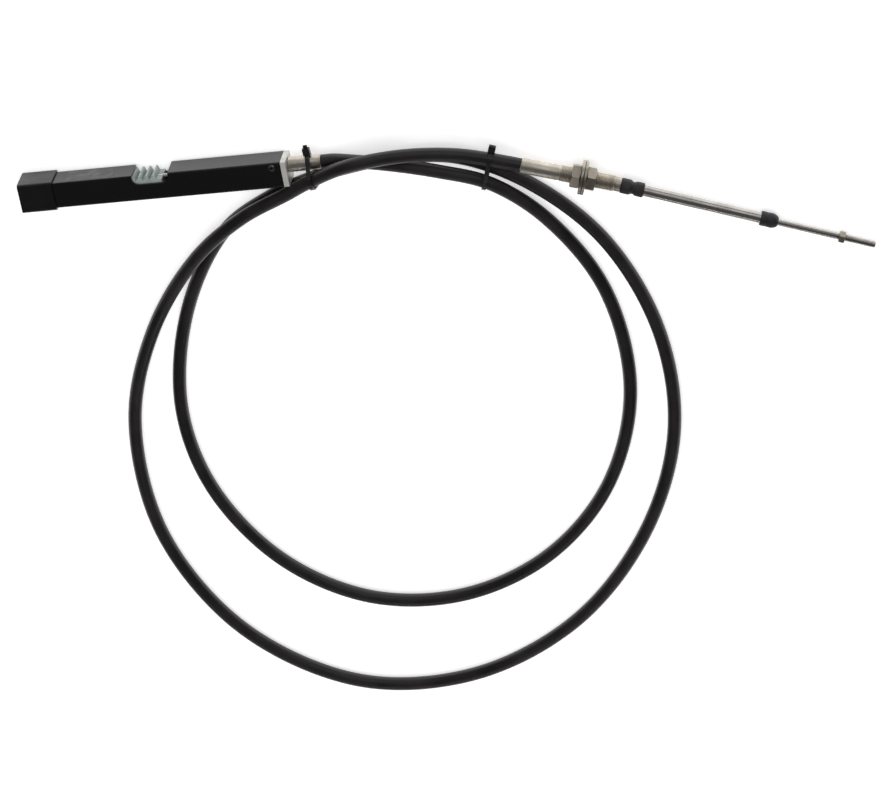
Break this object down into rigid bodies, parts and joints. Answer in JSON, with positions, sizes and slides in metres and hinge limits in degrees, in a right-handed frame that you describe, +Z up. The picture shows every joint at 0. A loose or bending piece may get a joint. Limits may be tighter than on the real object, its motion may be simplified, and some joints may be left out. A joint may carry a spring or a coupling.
{
  "type": "boat steering cable",
  "caption": "Rack-drive steering cable: a square rack box moves the core of a coiled conduit, which pushes a rod through a swivelling sleeve beyond a threaded bulkhead hub.",
  "frame": {"origin": "middle of the base of the box round everything but the conduit and its ties, on the floor that the part lies on", "axes": "+X along the rack box from its cap to its end plate; +Y out of the box's windowed face; +Z up from the floor"},
  "size_m": [0.9636, 0.7407, 0.0484],
  "materials": {
    "box_paint": "gloss black paint",
    "cap_plastic": "satin black moulding",
    "plate_casting": "satin casting",
    "zinc_plate": "zinc-plated steel",
    "rack_steel": "machined steel, oiled",
    "nickel_plate": "dull nickel plate",
    "stainless": "polished stainless steel",
    "conduit_jacket": "extruded plastic jacket, soft sheen",
    "tie_nylon": "black nylon",
    "boot_rubber": "moulded rubber"
  },
  "bodies": {
    "cable": {"housing_tube": "box_paint", "end_cap": "cap_plastic", "end_plate": "plate_casting", "end_plate_screw_1": "zinc_plate", "end_plate_screw_2": "zinc_plate", "inlet_ferrule": "nickel_plate", "conduit": "conduit_jacket", "cable_tie_left": "tie_nylon", "cable_tie_right": "tie_nylon", "threaded_hub": "nickel_plate", "bulkhead_nut_1": "zinc_plate", "bulkhead_washer_1": "zinc_plate", "bulkhead_washer_2": "zinc_plate", "bulkhead_nut_2": "zinc_plate"},
    "rack": {"rack_bar": "rack_steel", "core_rod": "stainless"},
    "swivel": {"swivel_ball": "stainless"},
    "sleeve": {"sleeve_tube": "stainless", "swivel_boot": "boot_rubber", "wiper_seal": "boot_rubber"},
    "rod": {"output_rod": "stainless", "rod_nut": "zinc_plate"}
  },
  "joints": [
    {"name": "rack_slide", "type": "slide", "parent": "cable", "child": "rack", "axis": [1, 0, 0], "range_m": [-0.006, 0.0956]},
    {"name": "sleeve_yaw", "type": "hinge", "parent": "cable", "child": "swivel", "pos_m": [0.19637, 0.0228, 0.01864], "axis": [0.042, -0.017, 0.999], "range_deg": [-4.5, 9.5]},
    {"name": "sleeve_pitch", "type": "hinge", "parent": "swivel", "child": "sleeve", "pos_m": [0.19637, 0.0228, 0.01864], "axis": [0.3748, 0.9271, 0], "range_deg": [-7, 7]},
    {"name": "rod_slide", "type": "slide", "parent": "sleeve", "child": "rod", "axis": [0.9262, -0.3744, -0.0453], "range_m": [-0.006, 0.0956]}
  ],
  "couplings": [
    {"joint": "rod_slide", "follows": "rack_slide", "ratio": 1}
  ]
}
